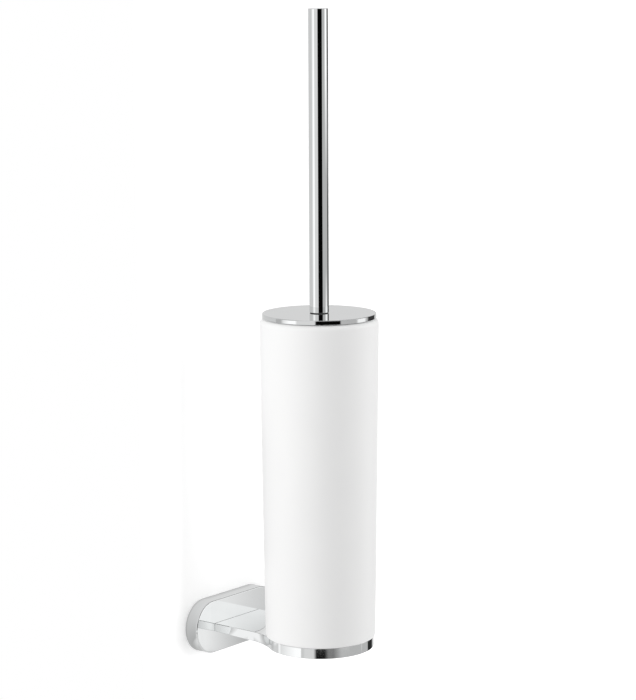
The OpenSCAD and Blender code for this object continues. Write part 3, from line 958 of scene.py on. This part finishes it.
# What polished metal reflects, as panels in directions: azimuth from the camera's side, positive to the right
# of the object, and elevation, in degrees. Four numbers are where a panel starts, is full, is full, and ends.
# A later panel covers an earlier one. The camera looks down, so the lower an upright face stands, the lower
# is the elevation that it mirrors.
ROOM = 0.85              # where there is no panel
OPEN = (-200, -199)      # starts below every direction
RISE = (-12.0, -10.0)    # the rod, lid and tumbler mirror what is above it, the bracket what is below it
HIGH = (*RISE, 85, 89)
MIDDLE = (*RISE, 12, 16)
OVER_MIDDLE = (12, 16, 85, 89)
LOW = (*OPEN, *RISE)
RING_TOP = (-16.1, -15.97)
RING = (*OPEN, *RING_TOP)
ARM_SIDE = (*RING_TOP, *RISE)
PANELS = [
    # azimuths, elevations, brightness
    ((-200, -190, -142, -132), HIGH, 0.58),                  # behind the object, on the left
    ((-142, -132, -84, -72), HIGH, 0.75),                    # wall beside the object
    ((-150, -140, -92, -86), (*RISE, -7.7, -7.4), 0.54),     # its darker foot, behind
    ((-104, -98, -84, -78), (*RISE, -7.8, -7.6), 0.55),      # and in front
    ((-84, -64, -50, -45), MIDDLE, 1.28),                    # left softbox
    ((10, 20, 118, 122), HIGH, 0.57),                        # grey panel on the right
    ((74, 87, 111, 117), (-4.8, -2.2, 9, 12), 1.32),         # right softbox
    ((99, 100, 108, 112), (9, 12, 85, 89), 1.32),            # its narrow upper part
    ((100.6, 101.8, 140, 150), (15.2, 15.8, 30, 40), 0.85),  # pale card before that part
    ((80, 86, 104, 110), (*RISE, -7.9, -7.0), 1.15),         # the right softbox's foot
    ((-9.5, -6.5, 42, 45), MIDDLE, 0.002),                   # black flag in front
    ((-9.5, -6.5, 42, 45), OVER_MIDDLE, 0.30),               # and what is over it
    ((-110, -100, -64, -56), (12, 16, 60, 70), 0.30),        # grey flag over the left softbox
    ((113, 118, 181, 182), (-5.5, -2.5, 85, 89), 0.05),      # black flag on the right
    ((113, 118, 146, 152), (*RISE, -5.5, -2.5), 0.05),       # its lower part
    ((-2, 0, 2.2, 2.75), ARM_SIDE, 1.42),                    # bright cards that the arm's edges catch
    ((2.6, 2.68, 2.75, 3.1), ARM_SIDE, 1.38),
    ((-105, -56, -43.5, -42.5), LOW, 1.30),                  # low softbox on the left
    ((-42.5, -41.5, -38, -34), LOW, 0.74),                   # and the grey beside it
    ((60, 70, 160, 170), LOW, 0.58),                         # low grey on the right
    ((-5, 0, 160, 170), RING, 0.58),                         # low grey panel
    ((-5, 0, 28, 46), RING, 0.24),                           # its darker start
    ((38, 41, 62, 66), (-16.08, -16.03, *RISE), 1.15),       # low card on the right
    ((-15.5, -9, 8.5, 17), RING, 0.008),                     # low black flag
    ((122.5, 124.5, 146, 152), LOW, 0.03),                   # low black flag on the right
    ((99.4, 99.7, 100.1, 101.1), (-16.25, -16.2, -15.6, -15.2), 1.06),   # card for the rosette's face
    ((99.4, 99.7, 100.6, 102.6), (-15.6, -15.2, -13, -11), 0.98),        # and its upper part
]
LIGHT_LEVEL = 0.68       # the room as matt surfaces see it
LAMP_AIM_Z = 0.2


def window(n, value, edges):
    """1 between the two inner edges, 0 outside the outer ones, and a slope between them."""
    rise = n.scaled(value, edges[0], edges[1])
    fall = n.scaled(value, edges[2], edges[3], 1.0, 0.0)
    return n.math("MULTIPLY", rise, fall)


def studio_world():
    """White for the camera, an even room for matt surfaces, and the panels for polished metal."""
    world = bpy.data.worlds.new("studio")
    world.use_nodes = True
    scene.world = world
    n = Nodes(world.node_tree)
    way = n.add("ShaderNodeSeparateXYZ", Vector=n.add("ShaderNodeTexCoord").outputs["Generated"]).outputs
    degrees = 180 / math.pi
    turn = n.math("MULTIPLY", n.math("ARCTAN2", way["Y"], way["X"]), degrees)
    from_camera = n.math("ADD", turn, 90 - CAMERA_AZIMUTH + 180)
    azimuth = n.math("SUBTRACT", n.math("MODULO", from_camera, 360.0), 180.0)
    elevation = n.math("MULTIPLY", n.math("ARCSINE", way["Z"]), degrees)
    value = ROOM
    for azimuths, elevations, brightness in PANELS:
        share = n.math("MULTIPLY", window(n, azimuth, azimuths), window(n, elevation, elevations))
        value = n.blend(share, value, brightness)
    path = n.add("ShaderNodeLightPath").outputs
    mirrored = n.blend(path["Is Glossy Ray"], LIGHT_LEVEL, value)
    seen = n.blend(path["Is Camera Ray"], mirrored, 1.0)
    n.add("ShaderNodeOutputWorld", Surface=n.add("ShaderNodeBackground", Color=rgb(1.0), Strength=seen))


studio_world()


def toward(azimuth, elevation):
    """The direction from the object to a place given as for the camera."""
    a, e = math.radians(azimuth), math.radians(elevation)
    return Vector((math.sin(a) * math.cos(e), -math.cos(a) * math.cos(e), math.sin(e)))


def softbox(name, azimuth, elevation, power, width, height, distance=1.5):
    """An area light that lights the object but isn't mirrored in it."""
    data = bpy.data.lights.new(name, "AREA")
    data.shape = "RECTANGLE"
    data.size, data.size_y = width, height
    data.energy = power
    lamp = bpy.data.objects.new(name, data)
    out = toward(azimuth, elevation)
    lamp.location = AXIS + Vector((0, 0, LAMP_AIM_Z)) + out * distance
    lamp.rotation_mode = "QUATERNION"
    lamp.rotation_quaternion = out.to_track_quat("Z", "Y")
    lamp.visible_glossy = False
    scene.collection.objects.link(lamp)


softbox("key_left", CAMERA_AZIMUTH - 60, 15, 10.0, 0.9, 1.2)
softbox("rim_right", CAMERA_AZIMUTH + 100, 15, 9.0, 0.7, 1.2)


# ---------------------------------------------------------------- camera

camera_data = bpy.data.cameras.new("camera")
camera_data.lens = CAMERA_LENS
camera_data.sensor_width = 36
camera = bpy.data.objects.new("camera", camera_data)
back = toward(CAMERA_AZIMUTH, CAMERA_ELEVATION)
camera.location = AIM + back * CAMERA_DISTANCE
camera.rotation_mode = "QUATERNION"
roll = Quaternion((0, 0, 1), math.radians(CAMERA_ROLL))
camera.rotation_quaternion = (-back).to_track_quat("-Z", "Y") @ roll
scene.collection.objects.link(camera)
scene.camera = camera
scene.view_settings.view_transform = "Standard"
